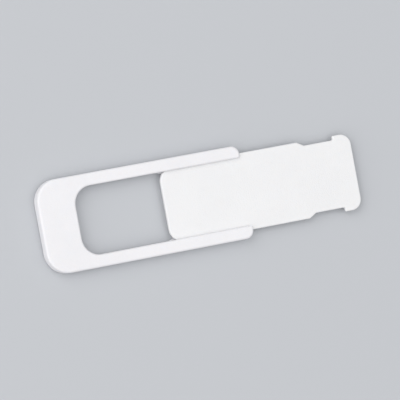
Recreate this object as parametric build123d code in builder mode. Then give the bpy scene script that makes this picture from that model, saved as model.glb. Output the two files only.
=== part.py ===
"""Sliding privacy cover: a lipped base frame, a captive slider and two pieces of adhesive tape.

All sizes are in millimetres. The origin is the middle of the clear window, on the surface that the
cover is stuck to. +X is the way the slider opens, +Z points out of the front face, and the slider is
drawn fully open.
"""

from build123d import *

import os

os.makedirs("parts", exist_ok=True)

# Base frame in plan
frame_length = 35.0
frame_width = 15.0
frame_corner = 3.6  # outside corners of the closed end
rail_end_corner = 1.4  # outside corners of the open end
end_bar = 6.2  # plain face of the closed end, up to the window
rail_wall = 1.15  # outside wall of each rail
lip_reach = 0.85  # how far each lip reaches in from that wall
window_corner = 2.9

# Window left clear by the open slider
view_length = 14.9

# Layers, from the back to the front
tape_thickness = 0.2
floor_thickness = 0.5
groove_height = 0.8
lip_thickness = 0.5

# Slider in plan
slider_length = 33.4
leading_corner = 2.5
outer_corner = 1.8
head_length = 3.0
neck_length = 5.1
shoulder_length = 1.2  # ramp from the full width down to the neck
tuck = 1.3  # how far the closed slider reaches under the end bar

# Stop rib under the slider, which runs in the window
rib_width = 0.8
rib_height = 0.42

# Adhesive tape
tape_inset = 0.5
tape_corner = 0.8

# Fits
side_gap = 0.15
face_gap = 0.08
stop_gap = 0.1

# Softened edges
front_round = 0.35
back_round = 0.12
lip_round = 0.3
slider_round = 0.2
notch_round = 0.25  # corners of the notches, in plan
rib_round = 0.12
largest_share = 0.8  # how much of its wall or corner a rounding may take

# Levels
floor_top = tape_thickness + floor_thickness
groove_top = floor_top + groove_height
front = groove_top + lip_thickness
slider_bottom = floor_top + face_gap
slider_thickness = groove_height - 2 * face_gap

# Half widths
frame_half = frame_width / 2
groove_half = frame_half - rail_wall
lip_half = groove_half - lip_reach
slider_half = groove_half - side_gap
rib_half = lip_half - window_corner

# Stations along the slide
window_left = -view_length / 2
frame_left = window_left - end_bar
frame_right = frame_left + frame_length
pocket_left = window_left - tuck - side_gap
slider_left = view_length / 2
slider_right = slider_left + slider_length
ear_left = slider_right - head_length
neck_left = ear_left - neck_length
shoulder_left = neck_left - shoulder_length
rib_left = slider_left + tuck + stop_gap
window_right = rib_left + rib_width + stop_gap
cut_right = frame_right + rail_wall  # cuts that leave the open end run past it

# Base frame: a block, hollowed by the groove, the slot between the lips and the window
with BuildPart() as base_frame:
    with BuildSketch(Plane.XY.offset(tape_thickness)) as outline:
        with Locations((frame_left, 0)):
            Rectangle(frame_length, frame_width, align=(Align.MIN, Align.CENTER))
        fillet(outline.vertices().group_by(Axis.X)[0], frame_corner)
        fillet(outline.vertices().group_by(Axis.X)[-1], rail_end_corner)
    extrude(amount=front - tape_thickness)
    fillet(base_frame.faces().sort_by(Axis.Z)[0].edges(), min(back_round, largest_share * floor_thickness))
    fillet(base_frame.faces().sort_by(Axis.Z)[-1].edges(), min(front_round, largest_share * lip_thickness))

    with BuildSketch(Plane.XY.offset(floor_top)) as groove:
        with Locations((pocket_left, 0)):
            Rectangle(cut_right - pocket_left, 2 * groove_half, align=(Align.MIN, Align.CENTER))
        fillet(groove.vertices().group_by(Axis.X)[0], leading_corner + side_gap)
    extrude(amount=groove_height, mode=Mode.SUBTRACT)

    with BuildSketch(Plane.XY.offset(groove_top)) as slot:
        with Locations((window_left, 0)):
            Rectangle(cut_right - window_left, 2 * lip_half, align=(Align.MIN, Align.CENTER))
        fillet(slot.vertices().group_by(Axis.X)[0], window_corner)
    extrude(amount=lip_thickness, mode=Mode.SUBTRACT)

    with BuildSketch(Plane.XY.offset(tape_thickness)) as window:
        with Locations((window_left, 0)):
            Rectangle(window_right - window_left, 2 * lip_half, align=(Align.MIN, Align.CENTER))
        fillet(window.vertices(), window_corner)
    extrude(amount=floor_thickness, mode=Mode.SUBTRACT)

    front_face = base_frame.faces().sort_by(Axis.Z)[-1]
    slot_edges = front_face.edges().filter_by_position(Axis.Y, -groove_half, groove_half)
    slot_edges = slot_edges.filter_by_position(Axis.X, window_left, frame_right)
    fillet(slot_edges, min(lip_round, largest_share * lip_thickness))
base_frame.part.label = "base_frame"
export_step(base_frame.part, "parts/base_frame.step")

# Slider: a flat plate with a notched outer end, and the stop rib under its leading end
with BuildPart() as slider:
    with BuildSketch(Plane.XY.offset(slider_bottom)):
        with BuildLine():
            FilletPolyline(
                (slider_left, 0),
                (slider_left, slider_half),
                (shoulder_left, slider_half),
                (neck_left, lip_half),
                (ear_left, lip_half),
                (ear_left, slider_half),
                (slider_right, slider_half),
                (slider_right, 0),
                radius=(leading_corner, notch_round, notch_round, notch_round, notch_round, outer_corner),
            )
            mirror(about=Plane.XZ)
        make_face()
    extrude(amount=slider_thickness)
    fillet(slider.faces().sort_by(Axis.Z)[0].edges(), min(back_round, largest_share * notch_round))
    fillet(slider.faces().sort_by(Axis.Z)[-1].edges(), min(slider_round, largest_share * notch_round))

    with BuildSketch(Plane.XY.offset(slider_bottom)):
        with Locations((rib_left, 0)):
            Rectangle(rib_width, 2 * rib_half, align=(Align.MIN, Align.CENTER))
    extrude(amount=-rib_height)
    fillet(slider.faces().sort_by(Axis.Z)[0].edges(), min(rib_round, largest_share * rib_width / 2))
slider.part.label = "slider"
export_step(slider.part, "parts/slider.step")

# Adhesive tape behind the closed end
with BuildPart() as end_tape:
    with BuildSketch(Plane.XY) as end_outline:
        with Locations((frame_left + tape_inset, 0)):
            Rectangle(end_bar - 2 * tape_inset, frame_width - 2 * tape_inset, align=(Align.MIN, Align.CENTER))
        fillet(end_outline.vertices().group_by(Axis.X)[0], frame_corner - tape_inset)
        fillet(end_outline.vertices().group_by(Axis.X)[-1], tape_corner)
    extrude(amount=tape_thickness)
end_tape.part.label = "end_tape"
export_step(end_tape.part, "parts/end_tape.step")

# Adhesive tape behind the floor that the slider opens over
with BuildPart() as floor_tape:
    with BuildSketch(Plane.XY) as floor_outline:
        with Locations((window_right + tape_inset, 0)):
            Rectangle(
                frame_right - window_right - 2 * tape_inset,
                frame_width - 2 * tape_inset,
                align=(Align.MIN, Align.CENTER),
            )
        fillet(floor_outline.vertices(), tape_corner)
    extrude(amount=tape_thickness)
floor_tape.part.label = "floor_tape"
export_step(floor_tape.part, "parts/floor_tape.step")
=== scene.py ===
"""Sliding privacy cover: its finishes, its tape, a small studio and a view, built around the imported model.

Lengths are in metres in the model's own frame. +X is the way the slider opens, +Y is across the rails
and +Z points out of the front face. The cover lies on its adhesive back.
"""

from __future__ import annotations

import logging
import math
from dataclasses import dataclass
from enum import Enum
from itertools import product

import bmesh
import bpy
from mathutils import Matrix, Vector

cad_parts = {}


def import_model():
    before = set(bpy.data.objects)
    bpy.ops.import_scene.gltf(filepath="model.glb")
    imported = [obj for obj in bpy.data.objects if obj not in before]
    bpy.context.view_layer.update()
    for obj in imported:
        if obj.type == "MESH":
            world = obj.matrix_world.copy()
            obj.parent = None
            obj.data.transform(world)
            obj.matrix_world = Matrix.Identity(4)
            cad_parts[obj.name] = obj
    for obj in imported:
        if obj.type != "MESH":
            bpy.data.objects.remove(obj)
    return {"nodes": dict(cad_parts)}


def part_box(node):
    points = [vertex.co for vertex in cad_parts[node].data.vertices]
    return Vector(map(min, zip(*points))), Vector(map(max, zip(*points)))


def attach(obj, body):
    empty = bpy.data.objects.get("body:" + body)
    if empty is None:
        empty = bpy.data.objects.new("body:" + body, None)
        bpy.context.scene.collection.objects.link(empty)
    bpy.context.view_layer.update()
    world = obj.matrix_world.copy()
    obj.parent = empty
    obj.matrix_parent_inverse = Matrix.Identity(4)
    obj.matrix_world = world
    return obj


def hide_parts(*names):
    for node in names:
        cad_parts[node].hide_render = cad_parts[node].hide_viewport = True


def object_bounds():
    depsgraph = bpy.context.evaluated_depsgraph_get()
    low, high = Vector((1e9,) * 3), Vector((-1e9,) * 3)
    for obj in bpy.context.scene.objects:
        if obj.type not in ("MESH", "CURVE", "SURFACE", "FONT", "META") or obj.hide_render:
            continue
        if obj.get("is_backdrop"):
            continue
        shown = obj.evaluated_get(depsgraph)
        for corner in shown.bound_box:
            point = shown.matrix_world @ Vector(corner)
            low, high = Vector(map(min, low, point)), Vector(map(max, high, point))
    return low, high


LOG = logging.getLogger("privacy_cover")
MM = 0.001
NOISE_MIDDLE = 0.5  # the value that noise varies around
Colour = tuple[float, float, float]
Point = tuple[float, float, float]


class Body(Enum):
    """The rigid bodies that new pieces ride on."""

    BASE = "base"


class Node(Enum):
    """The modelled pieces of the cover."""

    BASE_FRAME = "base_frame"
    SLIDER = "slider"
    END_TAPE = "end_tape"
    FLOOR_TAPE = "floor_tape"


class Slot(Enum):
    """The name of a material slot for the adhesive."""

    ADHESIVE = "adhesive"


class Axis(Enum):
    """The model's axes, under the names that a Separate XYZ node gives them."""

    ALONG = "X"
    ACROSS = "Y"
    OUT = "Z"


class Wire:
    """One output socket of a node tree. Arithmetic on it adds Math nodes to the tree."""

    def __init__(self, bench: Bench, socket: bpy.types.NodeSocket) -> None:
        """Keep the socket and the bench of its own tree."""
        self.bench = bench
        self.socket = socket

    def _math(self, operation: str, *values: Wire | float) -> Wire:
        """The result of one Math node, with wires or plain numbers as its inputs in order."""
        return self.bench.wire("ShaderNodeMath", {"operation": operation}, dict(enumerate(values)))

    def __add__(self, other: Wire | float) -> Wire:
        """self + other."""
        return self._math("ADD", self, other)

    __radd__ = __add__

    def __sub__(self, other: Wire | float) -> Wire:
        """self - other."""
        return self._math("SUBTRACT", self, other)

    def __rsub__(self, other: Wire | float) -> Wire:
        """other - self."""
        return self._math("SUBTRACT", other, self)

    def __mul__(self, other: Wire | float) -> Wire:
        """self * other."""
        return self._math("MULTIPLY", self, other)

    __rmul__ = __mul__

    def __abs__(self) -> Wire:
        """The distance from zero."""
        return self._math("ABSOLUTE", self)

    def __lt__(self, other: Wire | float) -> Wire:
        """1 where self is below other, 0 elsewhere."""
        return self._math("LESS_THAN", self, other)


@dataclass(frozen=True)
class NoiseField:
    """The make-up of a soft random field.

    Attributes:
        size: The width of one blotch.
        detail: How many finer octaves are added.
        roughness: How strong those octaves are.
    """

    size: float
    detail: float
    roughness: float


class Bench:
    """Adds nodes to one node tree, for shaders and for Geometry Nodes alike."""

    # Places of the colour sockets on a Mix node
    MIX_SHARE = 0
    MIX_FIRST = 6
    MIX_SECOND = 7
    MIX_RESULT = 2

    def __init__(self, tree: bpy.types.NodeTree) -> None:
        """Keep the tree that gets the nodes."""
        self.tree = tree

    def node(
        self,
        kind: str,
        settings: dict[str, object] | None = None,
        inputs: dict[str | int, object] | None = None,
    ) -> bpy.types.Node:
        """Add one node.

        Args:
            kind: The node's type name.
            settings: The node's own properties, set before its sockets.
            inputs: Values, wires or lists of wires for its inputs, by name or by place.

        Returns:
            The new node.
        """
        made = self.tree.nodes.new(kind)
        for name, value in (settings or {}).items():
            setattr(made, name, value)
        for key, value in (inputs or {}).items():
            target = made.inputs[key]
            wires = value if isinstance(value, list) else [value]
            if isinstance(wires[0], Wire):
                for wire in wires:
                    self.tree.links.new(wire.socket, target)
            else:
                target.default_value = value
        return made

    def wire(
        self,
        kind: str,
        settings: dict[str, object] | None = None,
        inputs: dict[str | int, object] | None = None,
        output: str | int = 0,
    ) -> Wire:
        """Add one node, as the method above does, and take one of its outputs, by name or by place."""
        return Wire(self, self.node(kind, settings, inputs).outputs[output])

    def place(self) -> Wire:
        """The object coordinates of a shaded point."""
        return self.wire("ShaderNodeTexCoord", output="Object")

    def measure(self, place: Wire, axis: Axis) -> Wire:
        """How far a place lies along one axis."""
        return self.wire("ShaderNodeSeparateXYZ", inputs={0: place}, output=axis.value)

    def vector(self, x: Wire | float, y: Wire | float, z: Wire | float) -> Wire:
        """A vector from three values."""
        return self.wire("ShaderNodeCombineXYZ", inputs={0: x, 1: y, 2: z})

    def noise(self, place: Wire, field: NoiseField) -> Wire:
        """A soft random field.

        Args:
            place: The coordinates it reads.
            field: Its make-up.

        Returns:
            A value around one half.
        """
        inputs = {
            "Vector": place,
            "Scale": 1.0 / field.size,
            "Detail": field.detail,
            "Roughness": field.roughness,
        }
        return self.wire("ShaderNodeTexNoise", inputs=inputs, output="Fac")

    def step(self, value: Wire, low: float, high: float) -> Wire:
        """A smooth step, from 0 where the value is low to 1 where it is high."""
        inputs = {"Value": value, "From Min": low, "From Max": high}
        return self.wire("ShaderNodeMapRange", {"interpolation_type": "SMOOTHSTEP"}, inputs)

    def blend(self, share: Wire, first: Colour, second: Colour) -> Wire:
        """A blend of two linear colours, the first where the share is 0 and the second where it is 1."""
        inputs = {self.MIX_SHARE: share, self.MIX_FIRST: (*first, 1.0), self.MIX_SECOND: (*second, 1.0)}
        return self.wire("ShaderNodeMix", {"data_type": "RGBA"}, inputs, self.MIX_RESULT)

    def bump(self, height: Wire, depth: float, under: Wire | None = None) -> Wire:
        """Turn a height field into a normal.

        Args:
            height: The field, from 0 to 1.
            depth: What 1 stands for.
            under: A normal that the field is laid on.

        Returns:
            The new normal.
        """
        inputs = {"Distance": depth, "Height": height}
        if under is not None:
            inputs["Normal"] = under
        return self.wire("ShaderNodeBump", inputs=inputs)


def shaded(name: str, inputs: dict[str, object]) -> bpy.types.Material:
    """Start a material that holds one Principled shader with constant sockets.

    Args:
        name: The material's name.
        inputs: The shader's constant values by socket name.

    Returns:
        The material.
    """
    material = bpy.data.materials.new(name)
    material.use_nodes = True
    material.node_tree.nodes.clear()
    bench = Bench(material.node_tree)
    surface = bench.wire("ShaderNodeBsdfPrincipled", inputs=inputs)
    bench.node("ShaderNodeOutputMaterial", inputs={"Surface": surface})
    return material


def connect(material: bpy.types.Material, wires: dict[str, Wire]) -> None:
    """Feed the sockets of a material's Principled shader that vary over the surface.

    Args:
        material: A material made by shaded.
        wires: What feeds each socket, by socket name.
    """
    tree = material.node_tree
    shader = tree.nodes["Principled BSDF"]
    for name, wire in wires.items():
        tree.links.new(wire.socket, shader.inputs[name])


def scaled(colour: Colour, factor: float) -> Colour:
    """A colour with each of its parts multiplied by a factor."""
    red, green, blue = colour
    return red * factor, green * factor, blue * factor


@dataclass(frozen=True)
class MouldedPlastic:
    """Satin white plastic with the fine grain of an eroded mould and a parting line round its wall.

    Attributes:
        name: The material's name.
        colour: Its colour at the palest.
        shade: How dark its clouds and flecks are, as a share of that colour.
        roughness: Its mean roughness.
        roughness_spread: How far the roughness follows the clouds and flecks.
        cloud: Broad soft patches.
        cloud_from: Where in the noise a patch begins.
        cloud_full: Where in the noise a patch is full.
        cloud_share: How much of the tone the patches give. The flecks give the rest.
        fleck: Small spots.
        wave: The shallow waves of a moulded face.
        wave_depth: Their height.
        grain: The mould's grain.
        grain_depth: Its height.
        parting_height: How high the parting line runs above the back of the cover.
        parting_width: Half the line's width.
        parting_depth: How far the line stands out.
        refraction: The plastic's index of refraction.
        glow: How much light comes back from under the surface.
        glow_colour: How far red, green and blue travel there, as shares of the reach.
        glow_reach: How far that light travels.
    """

    name: str
    colour: Colour
    shade: float = 0.965
    roughness: float = 0.55
    roughness_spread: float = 0.12
    cloud: NoiseField = NoiseField(size=7.0 * MM, detail=3.0, roughness=0.55)
    cloud_from: float = 0.3
    cloud_full: float = 0.7
    cloud_share: float = 0.6
    fleck: NoiseField = NoiseField(size=0.9 * MM, detail=4.0, roughness=0.6)
    wave: NoiseField = NoiseField(size=6.0 * MM, detail=1.0, roughness=0.4)
    wave_depth: float = 0.015 * MM
    grain: NoiseField = NoiseField(size=0.20 * MM, detail=2.0, roughness=0.5)
    grain_depth: float = 0.04 * MM
    parting_height: float = 1.05 * MM
    parting_width: float = 0.04 * MM
    parting_depth: float = 0.012 * MM
    refraction: float = 1.53
    glow: float = 0.15
    glow_colour: Colour = (1.0, 0.92, 0.84)
    glow_reach: float = 0.5 * MM

    def tone(self, bench: Bench, place: Wire) -> Wire:
        """The clouds and flecks.

        Args:
            bench: The bench of the material's tree.
            place: Object coordinates.

        Returns:
            A value around one half, low where the plastic is darker.
        """
        cloud = bench.step(bench.noise(place, self.cloud), self.cloud_from, self.cloud_full)
        fleck = bench.noise(place, self.fleck)
        return self.cloud_share * cloud + (1.0 - self.cloud_share) * fleck

    def rough(self, bench: Bench, place: Wire, tone: Wire) -> Wire:
        """The roughness of the plain plastic, which follows its clouds and flecks."""
        return self.roughness + self.roughness_spread * (tone - NOISE_MIDDLE)

    def relief(self, bench: Bench, place: Wire) -> Wire:
        """The waves, the grain and the parting line.

        Args:
            bench: The bench of the material's tree.
            place: Object coordinates.

        Returns:
            The surface's normal.
        """
        from_line = abs(bench.measure(place, Axis.OUT) - self.parting_height)
        off_line = bench.step(from_line, 0.0, self.parting_width)
        wavy = bench.bump(bench.noise(place, self.wave), self.wave_depth)
        grained = bench.bump(bench.noise(place, self.grain), self.grain_depth, wavy)
        return bench.bump(1.0 - off_line, self.parting_depth, grained)

    def material(self) -> bpy.types.Material:
        """Build the material.

        Returns:
            The finished material.
        """
        material = shaded(
            self.name,
            {
                "IOR": self.refraction,
                "Subsurface Weight": self.glow,
                "Subsurface Radius": self.glow_colour,
                "Subsurface Scale": self.glow_reach,
            },
        )
        bench = Bench(material.node_tree)
        place = bench.place()
        tone = self.tone(bench, place)
        wires = {
            "Base Color": bench.blend(tone, scaled(self.colour, self.shade), self.colour),
            "Roughness": self.rough(bench, place, tone),
            "Normal": self.relief(bench, place),
        }
        connect(material, wires)
        return material


@dataclass(frozen=True)
class RunningPlastic(MouldedPlastic):
    """The same plastic, polished along the two edges that run under the lips.

    Attributes:
        polished: How much smoother the bands along the edges are.
        polished_from: How far from the middle line a band begins.
        polished_full: How far from the middle line a band is full.
    """

    polished: float = 0.15
    polished_from: float = 5.3 * MM
    polished_full: float = 5.8 * MM

    def rough(self, bench: Bench, place: Wire, tone: Wire) -> Wire:
        """The roughness with the two polished bands.

        Args:
            bench: The bench of the material's tree.
            place: Object coordinates.
            tone: The clouds and flecks.

        Returns:
            The roughness over the surface.
        """
        from_middle = abs(bench.measure(place, Axis.ACROSS))
        bands = bench.step(from_middle, self.polished_from, self.polished_full)
        return super().rough(bench, place, tone) - self.polished * bands


@dataclass(frozen=True)
class AcrylicFoam:
    """Pale acrylic foam tape: fine closed cells under a dull, slightly tacky skin.

    Attributes:
        name: The material's name.
        colour: Its colour at the palest.
        shade: Its colour at the darkest.
        roughness: Its mean roughness.
        roughness_spread: How far the roughness follows the patches.
        refraction: The foam's index of refraction.
        cell_size: The width of one cell.
        cell_depth: The height of its wall.
        cell_softness: How softly one cell passes into the next.
        cell_share: How strongly the cells show in the colour.
        cloud: Broad soft patches.
        cloud_share: How strongly the patches show in the colour.
        shade_from: Where in the sum of the two the shade begins.
        shade_full: Where in the sum of the two the shade is full.
    """

    name: str
    colour: Colour
    shade: Colour
    roughness: float = 0.62
    roughness_spread: float = 0.2
    refraction: float = 1.47
    cell_size: float = 0.12 * MM
    cell_depth: float = 0.006 * MM
    cell_softness: float = 0.4
    cell_share: float = 0.5
    cloud: NoiseField = NoiseField(size=2.5 * MM, detail=4.0, roughness=0.6)
    cloud_share: float = 0.6
    shade_from: float = 0.2
    shade_full: float = 0.9

    def material(self) -> bpy.types.Material:
        """Build the material.

        Returns:
            The finished material.
        """
        material = shaded(self.name, {"IOR": self.refraction})
        bench = Bench(material.node_tree)
        place = bench.place()
        cells = bench.wire(
            "ShaderNodeTexVoronoi",
            {"feature": "SMOOTH_F1"},
            {"Vector": place, "Scale": 1.0 / self.cell_size, "Smoothness": self.cell_softness},
            "Distance",
        )
        cloud = bench.noise(place, self.cloud)
        mottle = self.cell_share * cells + self.cloud_share * cloud
        tone = bench.step(mottle, self.shade_from, self.shade_full)
        wires = {
            "Base Color": bench.blend(tone, self.colour, self.shade),
            "Roughness": self.roughness + self.roughness_spread * (cloud - NOISE_MIDDLE),
            "Normal": bench.bump(cells, self.cell_depth),
        }
        connect(material, wires)
        return material


@dataclass(frozen=True)
class StudioPaper:
    """Plain pale paper for the floor.

    Attributes:
        name: The material's name.
        colour: Its colour.
        roughness: Its roughness.
        gloss: How strong its reflection is.
    """

    name: str = "studio_paper"
    colour: Colour = (0.56, 0.575, 0.60)
    roughness: float = 0.9
    gloss: float = 0.1

    def material(self) -> bpy.types.Material:
        """Build the material.

        Returns:
            The finished material.
        """
        inputs = {
            "Base Color": (*self.colour, 1.0),
            "Roughness": self.roughness,
            "Specular IOR Level": self.gloss,
        }
        return shaded(self.name, inputs)


def dress(obj: bpy.types.Object, material: bpy.types.Material) -> None:
    """Give an object one material in place of those it has."""
    obj.data.materials.clear()
    obj.data.materials.append(material)


@dataclass
class Moulding:
    """A moulded piece that keeps its modelled shape.

    Attributes:
        finish: The piece's plastic.
        node: The modelled piece.
    """

    finish: MouldedPlastic
    node: Node

    def build(self, nodes: dict[str, bpy.types.Object]) -> bpy.types.Object:
        """Finish the modelled piece.

        Args:
            nodes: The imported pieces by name.

        Returns:
            The piece's object.
        """
        obj = nodes[self.node.value]
        dress(obj, self.finish.material())
        return obj


@dataclass
class BaseFrame(Moulding):
    """The lipped frame that is stuck on: closed end, rails, floor and window."""

    node: Node = Node.BASE_FRAME


@dataclass
class SliderPlate(Moulding):
    """The plate that covers the window, with its notched outer end."""

    node: Node = Node.SLIDER


@dataclass
class DieCutTape:
    """The two pieces of foam tape, whose edges swell a little where they are pressed.

    Attributes:
        finish: The tape's foam.
        end_corner: Radius of the corners that follow the frame's closed end.
        small_corner: Radius of the other corners.
        swell: How far the edges bulge.
        corner_steps: How many points round a corner.
        edge_steps: How many points down an edge.
        weld: Points nearer than this are one.
    """

    finish: AcrylicFoam
    end_corner: float = 3.1 * MM
    small_corner: float = 0.8 * MM
    swell: float = 0.05 * MM
    corner_steps: int = 12
    edge_steps: int = 9
    weld: float = 0.001 * MM

    def tree(self) -> bpy.types.GeometryNodeTree:
        """Build the node tree: a rounded outline, a swollen edge round it and two flat skins.

        Returns:
            The tree, with a named input for each size.
        """
        tree = bpy.data.node_groups.new("die_cut_tape", "GeometryNodeTree")
        for name in ("Length", "Width", "Left Corner", "Right Corner", "Thickness", "Swell"):
            tree.interface.new_socket(name, in_out="INPUT", socket_type="NodeSocketFloat")
        tree.interface.new_socket("Finish", in_out="INPUT", socket_type="NodeSocketMaterial")
        tree.interface.new_socket("Geometry", in_out="OUTPUT", socket_type="NodeSocketGeometry")
        bench = Bench(tree)
        given = {socket.name: Wire(bench, socket) for socket in bench.node("NodeGroupInput").outputs}
        left, right = given["Left Corner"], given["Right Corner"]
        thickness, swell = given["Thickness"], given["Swell"]

        # The outline is drawn in by the swell, and its two ends have corners of their own
        rectangle = bench.wire(
            "GeometryNodeCurvePrimitiveQuadrilateral",
            {"mode": "RECTANGLE"},
            {"Width": given["Length"] - 2.0 * swell, "Height": given["Width"] - 2.0 * swell},
        )
        along = bench.measure(bench.wire("GeometryNodeInputPosition"), Axis.ALONG)
        radius = right + (along < 0.0) * (left - right)
        outline = bench.wire(
            "GeometryNodeFilletCurve",
            {"mode": "POLY"},
            {"Curve": rectangle, "Count": self.corner_steps, "Radius": radius},
        )
        outline = bench.wire("GeometryNodeSetCurveNormal", {"mode": "Z_UP"}, {"Curve": outline})

        # The edge is an arc swept round the outline, with the arc's -Y turned up
        edge_profile = bench.wire(
            "GeometryNodeCurveArc",
            {"mode": "POINTS"},
            {
                "Resolution": self.edge_steps,
                "Start": (0.0, 0.0, 0.0),
                "Middle": bench.vector(swell, -0.5 * thickness, 0.0),
                "End": bench.vector(0.0, -1.0 * thickness, 0.0),
            },
        )
        edge = bench.wire(
            "GeometryNodeCurveToMesh",
            inputs={"Curve": outline, "Profile Curve": edge_profile},
        )

        # The lower skin fills the outline, and the upper one is a copy of it
        skin = bench.wire("GeometryNodeFillCurve", {"mode": "NGONS"}, {"Curve": outline})
        upper = bench.wire(
            "GeometryNodeTransform",
            inputs={"Geometry": skin, "Translation": bench.vector(0.0, 0.0, thickness)},
        )
        joined = bench.wire("GeometryNodeJoinGeometry", inputs={0: [edge, skin, upper]})
        welded = bench.wire("GeometryNodeMergeByDistance", inputs={0: joined, "Distance": self.weld})
        realized = bench.wire("GeometryNodeRealizeInstances", inputs={0: welded})
        dressed = bench.wire(
            "GeometryNodeSetMaterial",
            inputs={0: realized, "Material": given["Finish"]},
        )
        bench.node("NodeGroupOutput", inputs={0: dressed})
        return tree

    @staticmethod
    def cut(name: str, tree: bpy.types.GeometryNodeTree, values: dict[str, object]) -> bpy.types.Object:
        """Run the tree once and keep what it makes as a plain mesh.

        Args:
            name: The new object's name.
            tree: The tape's node tree.
            values: The tree's inputs by name.

        Returns:
            The piece, still centred on the origin.
        """
        piece = bpy.data.objects.new(name, bpy.data.meshes.new(f"{name}_blank"))
        bpy.context.collection.objects.link(piece)
        modifier = piece.modifiers.new("tape", "NODES")
        modifier.node_group = tree
        for item in tree.interface.items_tree:
            if item.name in values:
                modifier[item.identifier] = values[item.name]
        depsgraph = bpy.context.evaluated_depsgraph_get()
        mesh = bpy.data.meshes.new_from_object(piece.evaluated_get(depsgraph), depsgraph=depsgraph)
        piece.modifiers.clear()
        piece.data = mesh
        return piece

    def piece(
        self,
        tree: bpy.types.GeometryNodeTree,
        material: bpy.types.Material,
        node: Node,
        left_corner: float,
        right_corner: float,
    ) -> bpy.types.Object:
        """Make one piece of tape where the modelled one lies.

        Args:
            tree: The tape's node tree.
            material: The tape's material.
            node: The modelled piece that it stands for.
            left_corner: Radius of its corners towards the closed end.
            right_corner: Radius of its corners towards the open end.

        Returns:
            The piece, riding on the base.
        """
        low, high = (Vector(corner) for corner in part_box(node.value))
        size = high - low
        values = {
            "Length": size.x,
            "Width": size.y,
            "Left Corner": left_corner,
            "Right Corner": right_corner,
            "Thickness": size.z,
            "Swell": self.swell,
            "Finish": material,
        }
        piece = self.cut(f"{node.value}_foam", tree, values)
        middle = (low + high) / 2
        piece.data.transform(Matrix.Translation((middle.x, middle.y, low.z)))
        shell = bmesh.new()
        shell.from_mesh(piece.data)
        bmesh.ops.recalc_face_normals(shell, faces=shell.faces)
        shell.to_mesh(piece.data)
        shell.free()
        dress(piece, material)  # the tree leaves an empty slot before its own
        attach(piece, Body.BASE.value)
        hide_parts(node.value)
        return piece

    def build(self) -> list[bpy.types.Object]:
        """Make both pieces.

        Returns:
            The tape behind the closed end and the tape behind the floor.
        """
        tree = self.tree()
        material = self.finish.material()
        return [
            self.piece(tree, material, Node.END_TAPE, self.end_corner, self.small_corner),
            self.piece(tree, material, Node.FLOOR_TAPE, self.small_corner, self.small_corner),
        ]


@dataclass(frozen=True)
class Softbox:
    """One square soft lamp, aimed at the middle of the cover.

    Attributes:
        name: The lamp's name.
        place: Where it hangs.
        size: The length of its side.
        power: Its power in watts.
    """

    name: str
    place: Point
    size: float
    power: float

    def build(self, target: Vector) -> None:
        """Hang the lamp.

        Args:
            target: The point it is aimed at.
        """
        data = bpy.data.lights.new(self.name, "AREA")
        data.shape = "SQUARE"
        data.size = self.size
        data.energy = self.power
        lamp = bpy.data.objects.new(self.name, data)
        lamp.location = self.place
        lamp.rotation_euler = (target - Vector(self.place)).to_track_quat("-Z", "Y").to_euler()
        lamp.visible_camera = False
        bpy.context.collection.objects.link(lamp)


@dataclass
class Studio:
    """A pale paper floor, soft lamps and an even pale surround.

    Attributes:
        paper: The floor's paper, whose colour is the backdrop's too.
        lamps: The soft lamps.
        half_size: Half the length of the floor's side.
        drop: How far the floor lies under the tape.
        surround: The colour of the surround's light.
        surround_light: How strong that light is.
    """

    paper: StudioPaper
    lamps: tuple[Softbox, ...]
    half_size: float = 3.0
    drop: float = 0.01 * MM
    surround: Colour = (0.98, 0.985, 1.0)
    surround_light: float = 0.46

    def floor(self) -> None:
        """Lay the floor just under the tape."""
        reach = self.half_size
        corners = [(-reach, -reach), (reach, -reach), (reach, reach), (-reach, reach)]
        mesh = bpy.data.meshes.new("studio_floor")
        mesh.from_pydata([(x, y, -self.drop) for x, y in corners], [], [(0, 1, 2, 3)])
        floor = bpy.data.objects.new("studio_floor", mesh)
        bpy.context.collection.objects.link(floor)
        dress(floor, self.paper.material())
        floor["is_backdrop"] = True

    def world(self) -> None:
        """Make the surround: soft light for the cover, the backdrop's colour for the view."""
        world = bpy.data.worlds.new("studio_surround")
        world.use_nodes = True
        world.node_tree.nodes.clear()
        bench = Bench(world.node_tree)
        path = bench.node("ShaderNodeLightPath").outputs
        camera_ray = Wire(bench, path["Is Camera Ray"])
        glossy_ray = Wire(bench, path["Is Glossy Ray"])
        passing_ray = Wire(bench, path["Is Transmission Ray"])
        seen = camera_ray + glossy_ray + passing_ray
        light = bench.wire(
            "ShaderNodeBackground",
            inputs={"Color": (*self.surround, 1.0), "Strength": self.surround_light},
        )
        backdrop = bench.wire("ShaderNodeBackground", inputs={"Color": (*self.paper.colour, 1.0)})
        mixed = bench.wire("ShaderNodeMixShader", inputs={0: seen, 1: light, 2: backdrop})
        bench.node("ShaderNodeOutputWorld", inputs={"Surface": mixed})
        bpy.context.scene.world = world

    def build(self, target: Vector) -> None:
        """Set the studio up.

        Args:
            target: The point that the lamps are aimed at.
        """
        self.floor()
        self.world()
        for lamp in self.lamps:
            lamp.build(target)


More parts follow.
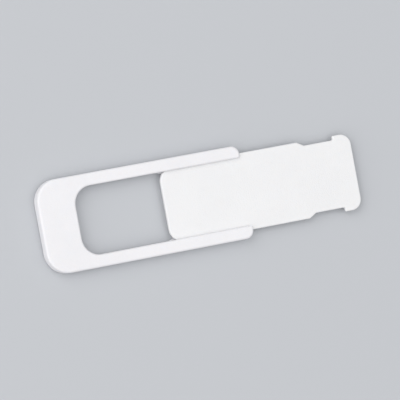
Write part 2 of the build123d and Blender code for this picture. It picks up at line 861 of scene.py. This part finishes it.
@dataclass
class FrontView:
    """The view of the front face, from the side of the closed end and tilted.

    Attributes:
        swing: How far the view is swung towards the closed end, in degrees.
        rise: How far it is raised towards the rail at +Y, in degrees.
        tilt: How far the picture is tilted, in degrees.
        distance: How far the camera is from the middle of the cover.
        filled: The share of the picture's width that the cover fills.
        sensor: The width of the camera's sensor, in millimetres.
        nearest: The nearest distance that the camera sees.
        farthest: The farthest distance that it sees.
    """

    swing: float = 20.7
    rise: float = 0.6
    tilt: float = 10.7
    distance: float = 0.68
    filled: float = 0.84
    sensor: float = 36.0
    nearest: float = 0.05
    farthest: float = 20.0

    def axes(self) -> tuple[Vector, Vector, Vector]:
        """The view's own directions.

        Returns:
            Right, up and towards the viewer, in the model's frame.
        """
        swing = math.radians(self.swing)
        rise = math.radians(self.rise)
        tilt = math.radians(self.tilt)
        level = math.cos(rise)
        back = Vector((-math.sin(swing) * level, math.sin(rise), math.cos(swing) * level))
        along = Vector((1.0, 0.0, 0.0))
        along = (along - along.dot(back) * back).normalized()
        across = back.cross(along)
        right = math.cos(tilt) * along - math.sin(tilt) * across
        up = math.sin(tilt) * along + math.cos(tilt) * across
        return right, up, back

    def build(self, low: Vector, high: Vector) -> bpy.types.Object:
        """Place the camera so that the cover fills its share of the square picture.

        Args:
            low: The cover's lowest corner.
            high: The cover's highest corner.

        Returns:
            The camera's object.
        """
        right, up, back = self.axes()
        corners = [Vector(corner) for corner in product(*zip(low, high))]
        sideways = [corner.dot(right) for corner in corners]
        upright = [corner.dot(up) for corner in corners]
        depth = ((low + high) / 2).dot(back)
        width = max(sideways) - min(sideways)
        middle = right * (max(sideways) + min(sideways)) / 2 + up * (max(upright) + min(upright)) / 2
        data = bpy.data.cameras.new("front_view")
        data.sensor_width = self.sensor
        data.lens = self.sensor * self.distance * self.filled / width
        data.clip_start = self.nearest
        data.clip_end = self.farthest
        camera = bpy.data.objects.new("front_view", data)
        turn = Matrix((right, up, back)).transposed().to_4x4()
        camera.matrix_world = Matrix.Translation(middle + back * (depth + self.distance)) @ turn
        bpy.context.collection.objects.link(camera)
        bpy.context.scene.camera = camera
        return camera


def main() -> None:
    """Build the pieces in order."""
    logging.basicConfig(level=logging.INFO, format="%(name)s %(message)s")
    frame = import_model()
    low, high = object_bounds()
    nodes = frame["nodes"]
    bpy.context.scene.view_settings.view_transform = "Standard"

    camera = FrontView().build(low, high)
    LOG.info("view with a %.0f mm lens", camera.data.lens)

    base_frame = BaseFrame(MouldedPlastic("frame_white_plastic", colour=(0.885, 0.876, 0.895)))
    LOG.info("finished %s", base_frame.build(nodes).name)
    slider = SliderPlate(RunningPlastic("slider_white_plastic", colour=(0.882, 0.880, 0.885)))
    LOG.info("finished %s", slider.build(nodes).name)
    foam = AcrylicFoam("pale_acrylic_foam", colour=(0.74, 0.73, 0.68), shade=(0.66, 0.65, 0.59))
    for piece in DieCutTape(foam).build():
        LOG.info("cut %s with %d faces", piece.name, len(piece.data.polygons))

    lamps = (
        Softbox("upper_softbox", place=(-0.60, 0.60, 0.90), size=1.10, power=6.2),
        Softbox("left_softbox", place=(-1.05, -0.15, 0.62), size=1.40, power=5.2),
        Softbox("right_softbox", place=(0.66, -0.03, 1.08), size=1.00, power=2.75),
        Softbox("lower_softbox", place=(0.06, -0.66, 1.08), size=1.00, power=2.05),
    )
    Studio(StudioPaper(), lamps).build((low + high) / 2)
    LOG.info("studio with %d lamps", len(lamps))


if __name__ == "__main__":
    main()
